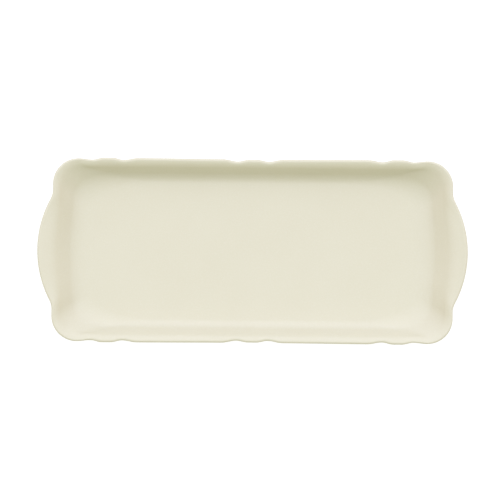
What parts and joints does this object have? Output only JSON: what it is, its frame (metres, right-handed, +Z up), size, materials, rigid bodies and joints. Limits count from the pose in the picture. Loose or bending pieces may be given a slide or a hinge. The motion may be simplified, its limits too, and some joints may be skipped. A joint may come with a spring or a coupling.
{
  "type": "serving platter",
  "caption": "Long shallow china platter with a scalloped, flared rim, a curved handle at each end, a clear glaze and a low foot ring.",
  "frame": {"origin": "on the table under the middle of the platter, in the plane of the foot ring's ground face", "axes": "+X from the left handle to the right handle, +Y across the platter, +Z up out of the dish"},
  "size_m": [0.3498, 0.15, 0.0224],
  "materials": {
    "china": "matte",
    "bare_china": "matte",
    "glaze": "gloss",
    "print": "satin"
  },
  "bodies": {
    "root": {"dish": "china", "handle_left": "china", "handle_right": "china", "foot_ring": "bare_china", "glaze_face": "glaze", "glaze_back": "glaze", "glaze_base": "glaze", "base_mark": "print"}
  },
  "joints": []
}
